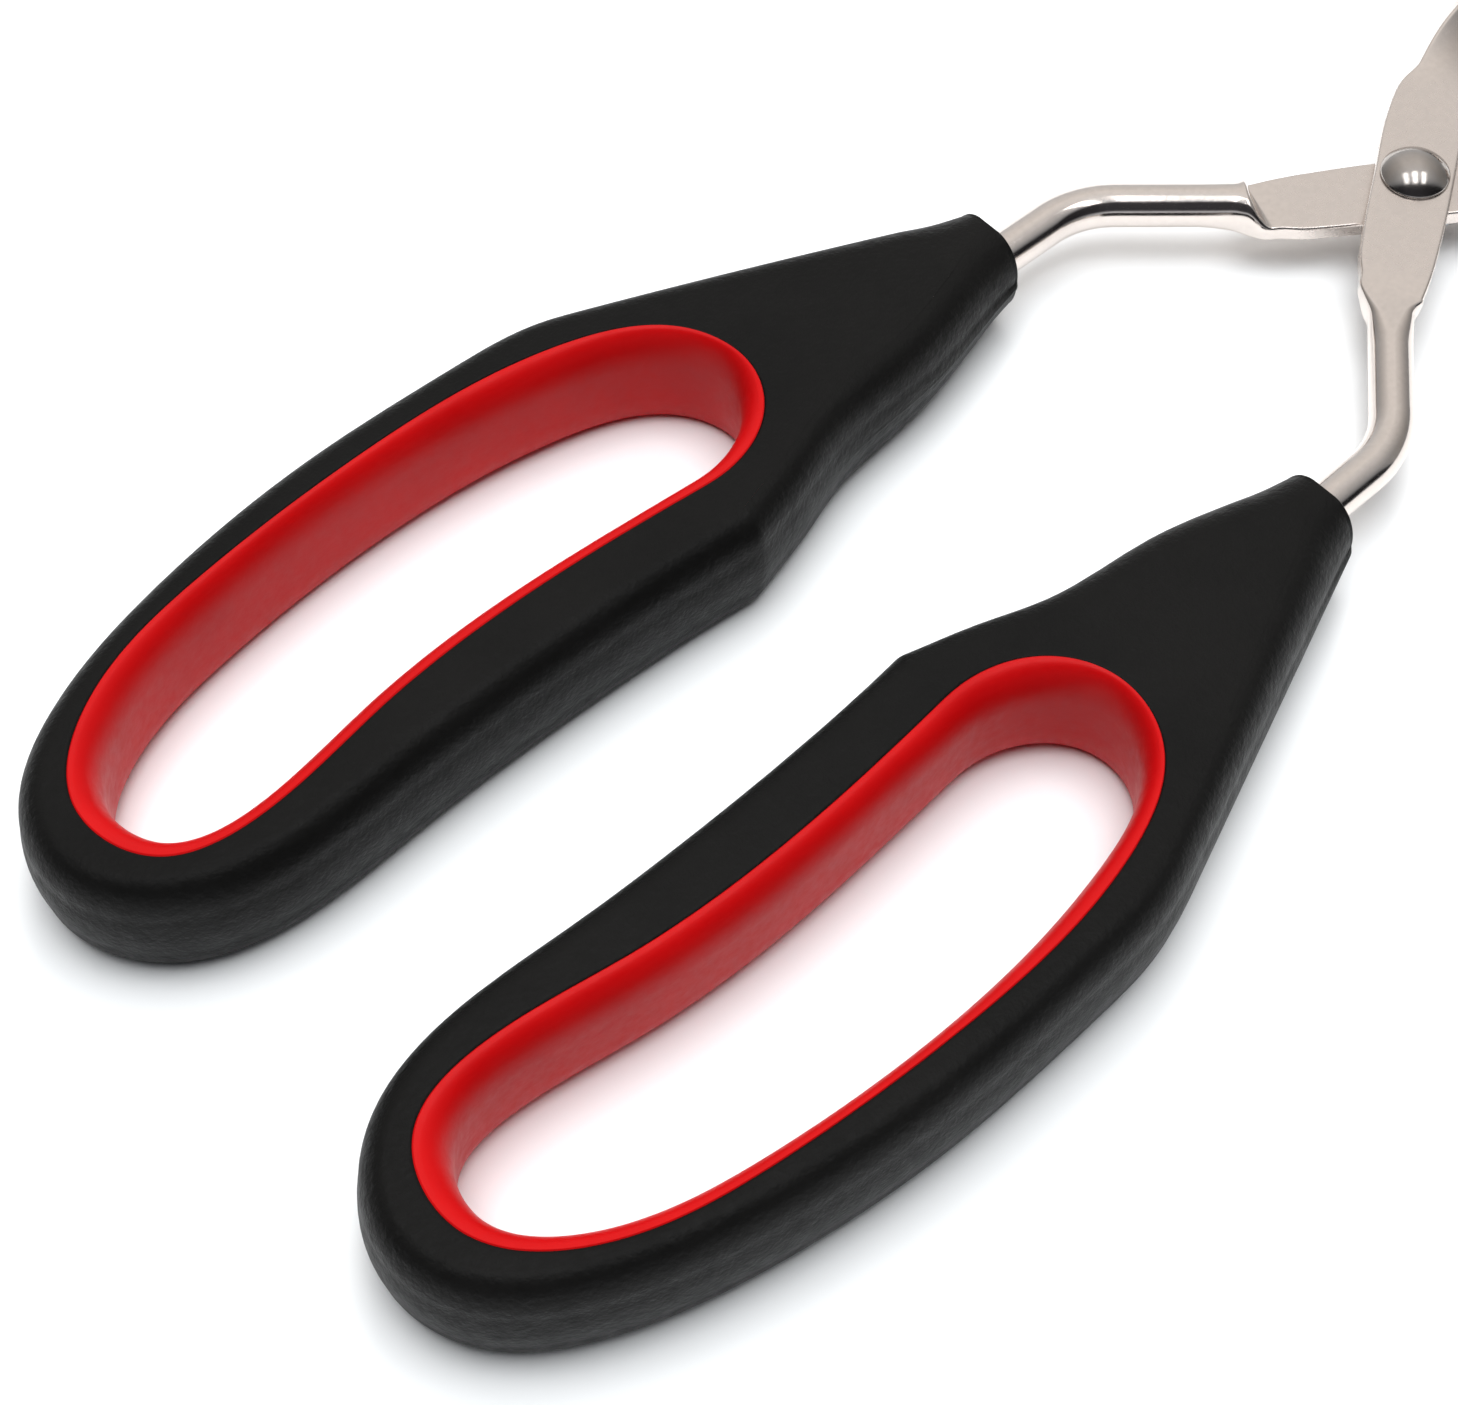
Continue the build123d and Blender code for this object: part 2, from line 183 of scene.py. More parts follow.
# ---------------------------------------------------------------- mesh helpers
def add_mesh(name, vertices, faces, body, material, slot, replaces=()):
    """A smooth-shaded piece in the row frame, given in millimetres from the pivot."""
    data = bpy.data.meshes.new(name)
    points = (np.asarray(vertices, float) + PIVOT) * MM
    data.from_pydata(points.tolist(), [], [list(f) for f in faces])
    work = bmesh.new()
    work.from_mesh(data)
    bmesh.ops.remove_doubles(work, verts=work.verts, dist=2e-6)
    bmesh.ops.recalc_face_normals(work, faces=work.faces)
    work.to_mesh(data)
    work.free()
    data.shade_smooth()
    data.set_sharp_from_angle(angle=SHARP)
    data.materials.append(material)
    piece = bpy.data.objects.new(name, data)
    bpy.context.scene.collection.objects.link(piece)
    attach(piece, body)
    if replaces:
        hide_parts(*replaces)
    return piece


def turned_over(vertices):
    """Points of the other half: half a turn about the tongs' long axis."""
    return np.asarray(vertices) * np.array([1, -1, -1])


def rings_to_faces(ring_count, size, first=0):
    """Quads between consecutive closed rings of equal size."""
    faces = []
    for r in range(ring_count - 1):
        a, b = first + r * size, first + (r + 1) * size
        for i in range(size):
            j = (i + 1) % size
            faces.append((a + i, a + j, b + j, b + i))
    return faces


def join_ends(ring_count, size):
    """Quads that join the last ring to the first."""
    last = (ring_count - 1) * size
    return [(last + i, last + (i + 1) % size, (i + 1) % size, i) for i in range(size)]


def cap_ends(ring_count, size):
    """One face over the first ring and one over the last."""
    last = (ring_count - 1) * size
    return [tuple(range(size)), tuple(last + i for i in reversed(range(size)))]


def slice_outlines(node, height):
    """Closed outlines of a CAD node at a height above the middle plane, in mm from the pivot."""
    work = bmesh.new()
    work.from_mesh(frame["nodes"][node].data)
    bmesh.ops.remove_doubles(work, verts=work.verts, dist=1e-7)
    level = (HALF_T + height) * MM
    cut = bmesh.ops.bisect_plane(work, geom=work.verts[:] + work.edges[:] + work.faces[:],
                                 plane_co=(0, 0, level), plane_no=(0, 0, 1))
    edges = [e for e in cut["geom_cut"] if isinstance(e, bmesh.types.BMEdge)]
    links = {}
    for edge in edges:
        a, b = edge.verts
        links.setdefault(a, []).append(b)
        links.setdefault(b, []).append(a)
    outlines, seen = [], set()
    for start in links:
        if start in seen:
            continue
        chain, previous, here = [], None, start
        while here not in seen:
            seen.add(here)
            chain.append((here.co.x / MM - PIVOT[0], here.co.y / MM))
            onward = [v for v in links[here] if v is not previous]
            previous, here = here, onward[0]
        outlines.append(np.array(chain))
    work.free()
    return sorted(outlines, key=lambda o: -np.ptp(o[:, 0]))


# ---------------------------------------------------------------- handle moulding and liner
def along_stem(x):
    """0 on the loop, rising to 1 at the stem's end."""
    return np.clip((np.asarray(x) - STEM_X[0]) / (STEM_X[1] - STEM_X[0]), 0, 1)


def half_thickness(x):
    """Half thickness of the moulding along the tongs: full at the loop, less down the stem."""
    t = along_stem(x)
    return HALF_T - (HALF_T - STEM_END_HALF) * (0.5 * t + 0.5 * t * t)


def inset_directions(outer):
    """Direction and reach of the edge rounding: square to the outline, but across the stem at its end."""
    normal = smooth_ring(outward(outer), 6)
    normal /= np.hypot(*normal.T)[:, None]
    end = outer[outer[:, 0] > STEM_X[1] - STEM_END_SPAN]
    middle, half_width = (end[:, 1].min() + end[:, 1].max()) / 2, np.ptp(end[:, 1]) / 2
    squeeze = np.column_stack([np.zeros(len(outer)), (outer[:, 1] - middle) / half_width])
    share = smoothstep((outer[:, 0] - STEM_X[1] + STEM_TURN[0]) / STEM_TURN[1])[:, None]
    return normal * (1 - share) + squeeze * share, normal


def handle_rings(outer):
    """Rings of the outer wall from the top face's rim down to the bottom face's rim."""
    direction, normal = inset_directions(outer)
    half = half_thickness(outer[:, 0])
    grow = along_stem(outer[:, 0]) ** 2
    wide = EDGE[0] + (STEM_EDGE[0] - EDGE[0]) * grow
    high = EDGE[1] + (STEM_EDGE[1] - EDGE[1]) * grow
    at_end = smoothstep((outer[:, 0] - STEM_X[1] + END_FACE[0]) / END_FACE[1]) * (normal[:, 0] > 0.5)
    rings = []
    for angle in np.linspace(90, 0, 15):
        lean, rise = 1 - math.cos(math.radians(angle)), math.sin(math.radians(angle))
        plan = outer - direction * (DRAFT * (1 - at_end) + wide * lean)[:, None]
        plan[:, 0] -= at_end * STEM_RIM * lean ** 2
        rings.append(np.column_stack([plan, half - high + high * rise]))
    wall = half - high
    for share in (0.75, 0.5, 0.25):
        plan = outer - direction * (DRAFT * share ** 2 * (1 - at_end))[:, None]
        rings.append(np.column_stack([plan, wall * share]))
    rise, width = PARTING
    ridge = rise * smoothstep((outer[:, 0] - PARTING_X[0]) / PARTING_X[1]) * (1 - at_end)
    rings.append(np.column_stack([outer, np.full(len(outer), width)]))
    rings.append(np.column_stack([outer + normal * ridge[:, None], np.full(len(outer), width * 0.4)]))
    mirrored = [ring * np.array([1, 1, -1]) for ring in reversed(rings)]
    return rings + mirrored


def inside(points, polygon):
    """Which points lie inside a closed polygon."""
    x, y = points[:, 0][:, None], points[:, 1][:, None]
    ax, ay = polygon[:, 0], polygon[:, 1]
    bx, by = np.roll(ax, -1), np.roll(ay, -1)
    crosses = ((ay > y) != (by > y)) & (x < (bx - ax) * (y - ay) / (by - ay + 1e-12) + ax)
    return crosses.sum(1) % 2 == 1


def nearest(points, polygon):
    """Distance from each point to the nearest outline point."""
    gap = points[:, None, :] - polygon[None, :, :]
    return np.sqrt((gap ** 2).sum(-1)).min(1)


def top_sheet(outer_ring, seam_ring):
    """Triangles of the flat face between the rounded edge and the liner's seam."""
    pitch, margin = SHEET
    low, high = outer_ring.min(0), outer_ring.max(0)
    gx, gy = np.meshgrid(np.arange(low[0], high[0], pitch), np.arange(low[1], high[1], pitch))
    gx = gx + pitch / 2 * (np.arange(gx.shape[0]) % 2)[:, None]
    grid = np.column_stack([gx.ravel(), gy.ravel()])
    grid = grid[inside(grid, outer_ring) & ~inside(grid, seam_ring)]
    grid = grid[(nearest(grid, outer_ring) > margin) & (nearest(grid, seam_ring) > margin)]
    points = np.vstack([outer_ring, seam_ring, grid])
    n, m = len(outer_ring), len(seam_ring)
    edges = [(i, (i + 1) % n) for i in range(n)] + [(n + i, n + (i + 1) % m) for i in range(m)]
    got = delaunay_2d_cdt([Vector(p) for p in points], edges, [], 0, 1e-7)
    new_points, faces = np.array([tuple(v) for v in got[0]]), got[2]
    keep = []
    for face in faces:
        middle = new_points[list(face)].mean(0)[None, :]
        if inside(middle, outer_ring)[0] and not inside(middle, seam_ring)[0]:
            keep.append(tuple(face))
    return new_points, keep


def build_handle():
    """Vertices and faces of the left handle moulding."""
    outer = resample(slice_outlines("left_handle", WALL_LEVEL)[0], OUTLINE_POINTS, smooth=0.3)
    seam = resample(slice_outlines("left_handle", SEAM_LEVEL)[1], LINER_POINTS, smooth=1.2)
    rings = handle_rings(outer)
    vertices = list(np.vstack(rings))
    faces = rings_to_faces(len(rings), len(outer))
    normal = outward(seam)
    sheet, triangles = top_sheet(rings[0][:, :2], seam + normal * GROOVE[-1][0])
    for sign in (1, -1):
        first = len(vertices)
        vertices += list(np.column_stack([sheet, sign * half_thickness(sheet[:, 0])]))
        faces += [tuple(first + i for i in t) for t in triangles]
        first = len(vertices)
        for away, share in GROOVE:
            plan = seam + normal * away
            level = half_thickness(plan[:, 0]) - SEAM_DROP * share
            vertices += list(np.column_stack([plan, sign * level]))
        faces += rings_to_faces(len(GROOVE), len(seam), first=first)
    first = len(vertices)
    seam_top = half_thickness(seam[:, 0]) - SEAM_DROP
    for share in (1, 0.6, 0, -0.6, -1):
        vertices += list(np.column_stack([seam, seam_top * share]))
    faces += rings_to_faces(5, len(seam), first=first)
    return np.array(vertices), faces


def build_liner():
    """Vertices and faces of the left liner: flush at the seam, then rolled into the opening."""
    seam = resample(slice_outlines("left_liner", SEAM_LEVEL)[0], LINER_POINTS, smooth=1.2)
    opening = resample(slice_outlines("left_liner", OPENING_LEVEL)[-1], 1600, smooth=0.8)
    normal = outward(seam)
    gap = opening[None, :, :] - seam[:, None, :]
    along = -(gap * normal[:, None, :]).sum(-1)
    beside = np.abs(gap[..., 0] * normal[:, None, 1] - gap[..., 1] * normal[:, None, 0])
    beside[(along < 0) | (along > LINER_MAX)] = np.inf
    reach = along[np.arange(len(seam)), beside.argmin(1)]
    reach = smooth_ring(reach[:, None], 8)[:, 0]
    top = HALF_T - LINER_SINK
    profile = [(0.0, top - LINER_SKIRT), (0.0, top - SEAM_DROP), (0.05, top - 0.06)]
    for angle in np.linspace(12, 90, 16):
        rad = math.radians(angle)
        profile.append((math.sin(rad) ** 1.05, top - RIM_HEIGHT * (1 - math.cos(rad))))
    profile.append((1.01, (top - RIM_HEIGHT) * 0.5))
    profile.append((1.015, 0.0))
    profile = profile + [(share, -z) for share, z in reversed(profile[:-1])]
    rings = [np.column_stack([seam - normal * (reach * share)[:, None], np.full(len(seam), z)])
             for share, z in profile]
    vertices = np.vstack(rings)
    return vertices, rings_to_faces(len(rings), len(seam)) + join_ends(len(rings), len(seam))


# ---------------------------------------------------------------- steel arms
def neck_path():
    """Centreline of the rod: two straight runs joined by an arc."""
    a, corner, b = (np.array(p) for p in NECK)
    into = (corner - a) / np.hypot(*(corner - a))
    out = (b - corner) / np.hypot(*(b - corner))
    turn = math.acos(float(into @ out))
    back = NECK_R * math.tan(turn / 2)
    start, end = corner - into * back, corner + out * back
    side = np.array([into[1], -into[0]])
    centre = start + side * NECK_R
    first = start - centre
    arc = []
    for angle in np.linspace(0, -turn, 40):
        c, s = math.cos(angle), math.sin(angle)
        arc.append(centre + np.array([c * first[0] - s * first[1], s * first[0] + c * first[1]]))
    first_run = [a + (start - a) * t for t in np.linspace(0, 1, 60)[:-1]]
    last_run = [end + (b - end) * t for t in np.linspace(0, 1, 30)[1:]]
    return np.array(first_run + arc + last_run)


def arm_rows():
    """Rows along the arm: x, y, bottom, top, width, twist, lower and upper edge radius, shear."""
    path = neck_path()
    to_go = np.cumsum(np.hypot(*np.diff(path[::-1], axis=0).T))[::-1]
    to_go = np.append(to_go, 0.0)
    crease = np.array(ARM[0][:2])
    lead = np.hypot(*(crease - path[-1]))
    step = path[-1] + (crease - path[-1]) * np.linspace(0, 1, 40)[1:, None]
    centre = np.vstack([path, step])
    left = np.concatenate([to_go + lead, lead * np.linspace(1, 0, 40)[1:]])
    level, width, thickness, edge = ARM[0][2], ARM[0][3], ARM[0][4], ARM[0][6]
    fall, under = smoothstep(1 - left / STEP[0]), smoothstep(1 - left / STEP[1])
    bottom = -ROD_R + (ROD_R + level - thickness / 2) * under
    top = ROD_R + (level + thickness / 2 - ROD_R) * fall
    widths = 2 * ROD_R + (width - 2 * ROD_R) * smoothstep(1 - left / (STEP[0] + 1.6))
    lower = ROD_R + (edge - ROD_R) * smoothstep(1 - left / STEP[1])
    upper = ROD_R + (edge - ROD_R) * smoothstep(1 - left / (STEP[0] * 0.8))
    shear = CREASE_SHEAR * smoothstep(1 - left / (STEP[0] + 1.5))
    rod = np.column_stack([centre, bottom, top, widths, np.zeros(len(centre)), lower, upper, shear])
    keys = ARM + [(*pad_point(x), 0, 0, JAW_T, 90, 0.45) for x in (80, 90, 102)]
    flat = hermite(keys, 660)[1:]
    x, y, z, width, thickness, twist, radius = flat.T
    beyond = np.hypot(x - crease[0], y - crease[1])
    shear = CREASE_SHEAR * (1 - smoothstep(beyond / 6))
    bottom, top = z - thickness / 2, z + thickness / 2
    pressed = np.column_stack([x, y, bottom, top, width, twist, radius, radius, shear])
    return np.vstack([rod, pressed])


def pad_point(x):
    return (x, -x * math.tan(CLOSE_HALF) - FACE_OFFSET)


def pad_half_height():
    """Half height of the scalloped pad as a function of x, from the row of lobes round an oval."""
    half_length, half_height = PAD_HALF
    corners = [np.array([PAD_CENTRE_X + half_length * math.cos(a), half_height * math.sin(a)])
               for a in np.linspace(0, 2 * math.pi, SCALLOPS + 1)]
    xs = np.linspace(PAD_CENTRE_X - half_length - 1, PAD_CENTRE_X + half_length + 1, 700)
    best = np.zeros_like(xs)
    for a, b in zip(corners, corners[1:]):
        chord = np.hypot(*(b - a))
        rise = 0.28 * chord
        radius = (chord ** 2 / 4 + rise ** 2) / (2 * rise)
        out = np.array([(b - a)[1], -(b - a)[0]]) / chord
        centre = (a + b) / 2 + out * (rise - radius)
        reach = radius ** 2 - (xs - centre[0]) ** 2
        top = np.where(reach > 0, centre[1] + np.sqrt(np.maximum(reach, 0)), 0)
        crest = (a + b) / 2 + out * rise
        low, high = min(a[0], b[0], crest[0]), max(a[0], b[0], crest[0])
        top[(xs < low) | (xs > high)] = 0
        best = np.maximum(best, top)
    return xs, best


def section(width, bottom, top, lower, upper):
    """Rectangle with its own lower and upper corner radius, and the same number of points at any size."""
    limit = min(width, top - bottom) / 2 * 0.999
    lower, upper = min(lower, limit), min(upper, limit)
    half = width / 2
    corners = [(half - upper, top - upper, upper), (upper - half, top - upper, upper),
               (lower - half, bottom + lower, lower), (half - lower, bottom + lower, lower)]
    points = []
    for k, (x, y, radius) in enumerate(corners):
        for angle in np.radians(90 * k + np.linspace(0, 90, SECTION[0])):
            points.append((x + radius * math.cos(angle), y + radius * math.sin(angle)))
        next_x, next_y, next_radius = corners[(k + 1) % 4]
        angle = math.radians(90 * (k + 1))
        there = np.array([next_x + next_radius * math.cos(angle), next_y + next_radius * math.sin(angle)])
        here = np.array(points[-1])
        steps = SECTION[1] if k % 2 == 0 else SECTION[2]
        points += [tuple(here + (there - here) * i / steps) for i in range(1, steps)]
    return np.array(points)


def pressed_pad(x, tip, half, points):
    """Section points of the jaw, dished and pressed with cross ribs."""
    u, v = points.T
    window = smoothstep((x - PRESS[0]) / PRESS[1]) * smoothstep((tip - x) / PRESS[2])
    across = np.clip(1 - (u / max(half, 3.0)) ** 2, 0, 1)
    ribs = RIB[0] * math.cos(2 * math.pi * (x - PAD_CENTRE_X) / RIB[1])
    return np.column_stack([u, v + window * (DISH * across + ribs * smoothstep(across * 1.8))])


def build_arm():
    """Vertices and faces of the lower arm; the upper arm is the same piece turned over."""
    rows = arm_rows()
    xs, heights = pad_half_height()
    tip = xs[np.flatnonzero(heights > 0)[-1]]
    tangent = np.gradient(rows[:, :2], axis=0)
    tangent = np.vstack([tangent[:1].repeat(8, 0), tangent, tangent[-1:].repeat(8, 0)])
    tangent = smooth_ring(tangent, 3)[8:-8]
    tangent /= np.hypot(*tangent.T)[:, None]
    rings = []
    for row, direction in zip(rows, tangent):
        x, y, bottom, top, width, twist, lower, upper, shear = row
        if x > tip - 0.02:
            break
        if x > STRIP[0]:
            strip = STRIP[1] + (STRIP[2] - STRIP[1]) * min(1, (x - STRIP[0]) / 10)
            strip = strip if x < PAD_CENTRE_X - 5 else 0
            width = 2 * max(float(np.interp(x, xs, heights)), strip, 0.1)
        middle = (bottom + top) / 2 if twist > 0 else 0
        points = section(width, bottom - middle, top - middle, lower, upper)
        if x > STRIP[0]:
            points = pressed_pad(x, tip, width / 2, points)
        u, v = points.T
        c, s = math.cos(math.radians(twist)), math.sin(math.radians(twist))
        left = np.array([-direction[1], direction[0], 0])
        ahead = np.array([direction[0], direction[1], 0])
        up = np.array([0, 0, 1.0])
        side = (u * c - v * s)[:, None] * left + (u * s + v * c)[:, None] * up
        rings.append(np.array([x, y, middle]) + side + (shear * u)[:, None] * ahead)
    size = len(rings[0])
    vertices = np.vstack(rings)
    return vertices, rings_to_faces(len(rings), size) + cap_ends(len(rings), size)


def build_flash():
    """Thin uneven lip of black plastic that crept along the rod where it leaves the stem."""
    path = neck_path()
    start = path[np.abs(path[:, 0] - STEM_X[1]).argmin()]
    angles = np.linspace(0, 2 * math.pi, 72, endpoint=False)
    reach = 0.45 + 0.3 * np.sin(3 * angles + 0.7) * np.sin(5 * angles) + 0.18 * np.sin(11 * angles + 2)
    reach = np.clip(reach, 0.08, 1.1)
    rings = []
    for radius, share in FLASH:
        along = reach * share if share > 0 else np.full(len(angles), share)
        rings.append(np.column_stack([start[0] + along, start[1] + radius * np.cos(angles),
                                      radius * np.sin(angles)]))
    faces = rings_to_faces(len(rings), len(angles)) + join_ends(len(rings), len(angles))
    return np.vstack(rings), faces


# ---------------------------------------------------------------- rivet and spring
def dome_profile(radius, height, rim):
    """Half section of a domed head: a short rim and a spherical cap with a softened shoulder."""
    rise = height - rim
    sphere = (radius ** 2 + rise ** 2) / (2 * rise)
    start = math.asin(radius / sphere)
    points = [(radius - 0.25, 0.0), (radius - 0.06, 0.05), (radius, 0.18), (radius, rim - 0.1)]
    for angle in np.linspace(start * 0.985, 0, 40):
        points.append((sphere * math.sin(angle), height - sphere + sphere * math.cos(angle)))
    return points


def lathe(profile, steps=128):
    """Surface of revolution about the pivot's axis; the profile ends on the axis or on a shank."""
    angles = np.linspace(0, 2 * math.pi, steps, endpoint=False)
    rings = [np.column_stack([r * np.cos(angles), r * np.sin(angles), np.full(steps, z)])
             for r, z in profile]
    return np.vstack(rings), rings_to_faces(len(rings), steps) + cap_ends(len(rings), steps)


def build_rivet():
    """Domed head, shank and formed tail in one turned piece."""
    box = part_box("pivot_rivet")
    top = box[1].z / MM - PIVOT[2] - RIVET[1]
    bottom = box[0].z / MM - PIVOT[2] + TAIL[1]
    head = [(max(r, 0.01), top + z) for r, z in dome_profile(*RIVET)]
    tail = [(max(r, 0.01), bottom - z) for r, z in dome_profile(*TAIL)]
    return lathe(list(reversed(head)) + [(2.5, top), (2.5, bottom)] + tail)


def tube(path, radius, steps=20):
    """Round wire along a path, with rounded ends."""
    path = np.asarray(path, float)
    tangent = np.gradient(path, axis=0)
    tangent /= np.linalg.norm(tangent, axis=1)[:, None]
    normal = np.cross(tangent[0], [0, 0, 1.0])
    rings = []
    angles = np.linspace(0, 2 * math.pi, steps, endpoint=False)
    for here, t in zip(path, tangent):
        normal = normal - t * (normal @ t)
        normal /= np.linalg.norm(normal)
        other = np.cross(t, normal)
        rings.append(here + radius * (np.cos(angles)[:, None] * normal + np.sin(angles)[:, None] * other))
    capped = []
    for end, sign in ((0, -1), (-1, 1)):
        cap = []
        for angle in (30, 60, 80):
            rad = math.radians(angle)
            centre = path[end] + sign * tangent[end] * radius * math.sin(rad) * 0.6
            cap.append(centre + (rings[end] - path[end]) * math.cos(rad))
        capped.append(cap)
    rings = capped[0][::-1] + rings + capped[1]
    return np.vstack(rings), rings_to_faces(len(rings), steps) + cap_ends(len(rings), steps)


def build_spring():
    """Two wires that meet in the coil's middle, so that each leg follows its own arm."""
    coil_r, wire_r = COIL
    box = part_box("opening_spring")
    top = box[1].z / MM - PIVOT[2] - wire_r
    bottom = box[0].z / MM - PIVOT[2] + wire_r
    half = math.atan2(LEG_END[1], LEG_END[0]) - math.asin(coil_r / math.hypot(*LEG_END))
    sweep = 3 * math.pi - 2 * half
    halves = []
    for side, level, other in ((1, top, bottom), (-1, bottom, top)):
        start = math.pi / 2 + half
        middle = (level + other) / 2
        coil = []
        for t in np.linspace(0, 1, 110):
            angle = side * (start + t * sweep / 2)
            coil.append((coil_r * math.cos(angle), coil_r * math.sin(angle), level + (middle - level) * t))
        root = np.array(coil[0])
        end = np.array([LEG_END[0], side * LEG_END[1], LEG_LEVEL])
        leg = [end + (root - end) * t for t in np.linspace(0, 1, 60)[:-1]]
        halves.append(tube(leg + coil, wire_r))
    return halves


# ---------------------------------------------------------------- materials
NOISE_SPREAD = (0.3, 0.7)    # nearly all values of a noise texture lie between these


def new_material(name):
    material = bpy.data.materials.new(name)
    material.use_nodes = True
    nodes, links = material.node_tree.nodes, material.node_tree.links
    return material, nodes, links, nodes["Principled BSDF"]


def noise(nodes, links, scale, detail=4.0, rough=0.55, stretch=None):
    """Noise in the object's own space, in metres, stretched along an axis if asked."""
    texture = nodes.new("ShaderNodeTexNoise")
    texture.inputs["Scale"].default_value = scale
    texture.inputs["Detail"].default_value = detail
    texture.inputs["Roughness"].default_value = rough
    place = nodes.new("ShaderNodeTexCoord")
    if stretch is None:
        links.new(place.outputs["Object"], texture.inputs["Vector"])
    else:
        mapping = nodes.new("ShaderNodeMapping")
        mapping.inputs["Rotation"].default_value = stretch[0]
        mapping.inputs["Scale"].default_value = stretch[1]
        links.new(place.outputs["Object"], mapping.inputs["Vector"])
        links.new(mapping.outputs["Vector"], texture.inputs["Vector"])
    return texture.outputs["Fac"]


def ramp(nodes, links, value, stops):
    """Colour ramp over a value."""
    node = nodes.new("ShaderNodeValToRGB")
    while len(node.color_ramp.elements) < len(stops):
        node.color_ramp.elements.new(0.5)
    for element, (position, colour) in zip(node.color_ramp.elements, stops):
        element.position = position
        element.color = (*colour, 1.0)
    links.new(value, node.inputs["Fac"])
    return node.outputs["Color"]


def grey(level):
    return (level, level, level)


def span(nodes, links, value, low, high):
    """A noise value spread over a range of numbers."""
    node = nodes.new("ShaderNodeMapRange")
    node.inputs["From Min"].default_value = NOISE_SPREAD[0]
    node.inputs["From Max"].default_value = NOISE_SPREAD[1]
    node.inputs["To Min"].default_value = low
    node.inputs["To Max"].default_value = high
    links.new(value, node.inputs["Value"])
    return node.outputs["Result"]


def bump(nodes, links, heights, shader):
    """Chain of bump nodes, each (height value, distance in metres, strength)."""
    previous = None
    for height, distance, strength in heights:
        node = nodes.new("ShaderNodeBump")
        node.inputs["Distance"].default_value = distance
        node.inputs["Strength"].default_value = strength
        links.new(height, node.inputs["Height"])
        if previous is not None:
            links.new(previous, node.inputs["Normal"])
        previous = node.outputs["Normal"]
    links.new(previous, shader.inputs["Normal"])


def black_plastic():
    """Matte black moulding with a fine spark-eroded grain and slightly paler worn patches."""
    material, nodes, links, shader = new_material("black_moulding")
    broad = noise(nodes, links, 45, 3)
    links.new(ramp(nodes, links, broad, [(0.3, (0.0034, 0.0033, 0.0031)), (0.7, (0.0052, 0.0049, 0.0046))]),
              shader.inputs["Base Color"])
    links.new(span(nodes, links, noise(nodes, links, 500, 4), 0.42, 0.54), shader.inputs["Roughness"])
    shader.inputs["Specular IOR Level"].default_value = 0.13
    bump(nodes, links, [(noise(nodes, links, 1300, 3, 0.6), 0.00018, 0.8),
                        (noise(nodes, links, 600, 2), 0.00016, 0.4)], shader)
    return material


def red_liner():
    """Soft red elastomer: satin, faintly mottled, with a very fine grain."""
    material, nodes, links, shader = new_material("red_liner")
    broad = noise(nodes, links, 60, 4)
    links.new(ramp(nodes, links, broad, [(0.3, (0.44, 0.0016, 0.0026)), (0.7, (0.50, 0.0026, 0.0034))]),
              shader.inputs["Base Color"])
    links.new(span(nodes, links, noise(nodes, links, 700, 4), 0.38, 0.50), shader.inputs["Roughness"])
    shader.inputs["Specular IOR Level"].default_value = 0.18
    shader.inputs["Subsurface Weight"].default_value = 0.1
    shader.inputs["Subsurface Radius"].default_value = (1.0, 0.1, 0.06)
    shader.inputs["Subsurface Scale"].default_value = 0.0010
    bump(nodes, links, [(noise(nodes, links, 1500, 3), 0.00005, 0.4),
                        (noise(nodes, links, 160, 2), 0.0002, 0.12)], shader)
    return material


def steel(name, colour, rough, scratch_angle=0.0):
    """Tumbled stainless: satin round the pivot, brighter along the rods, with fine crossing scratches."""
    material, nodes, links, shader = new_material(name)
    dark = tuple(c * 0.96 for c in colour)
    links.new(ramp(nodes, links, noise(nodes, links, 1100, 6, 0.6), [(0.35, dark), (0.62, colour)]),
              shader.inputs["Base Color"])
    shader.inputs["Metallic"].default_value = 1.0
    along = noise(nodes, links, 1500, 3, 0.6, ((0, 0, scratch_angle), (0.05, 1.6, 1.0)))
    across = noise(nodes, links, 1300, 3, 0.6, ((0, 0, scratch_angle + 1.1), (0.06, 1.6, 1.0)))
    satin = span(nodes, links, noise(nodes, links, 600, 5), *rough)
    place = nodes.new("ShaderNodeTexCoord")
    away = nodes.new("ShaderNodeVectorMath")
    away.operation = "DISTANCE"
    away.inputs[1].default_value = tuple(PIVOT * MM)
    links.new(place.outputs["Object"], away.inputs[0])
    polish = nodes.new("ShaderNodeMapRange")
    polish.inputs["From Min"].default_value = POLISH[0] * MM
    polish.inputs["From Max"].default_value = POLISH[1] * MM
    polish.inputs["To Min"].default_value = 1.0
    polish.inputs["To Max"].default_value = POLISH[2]
    links.new(away.outputs["Value"], polish.inputs["Value"])
    product = nodes.new("ShaderNodeMath")
    product.operation = "MULTIPLY"
    links.new(satin, product.inputs[0])
    links.new(polish.outputs["Result"], product.inputs[1])
    links.new(product.outputs["Value"], shader.inputs["Roughness"])
    bump(nodes, links, [(along, 0.000010, 0.4), (across, 0.000010, 0.3),
                        (noise(nodes, links, 2200, 2), 0.000008, 0.3)], shader)
    return material


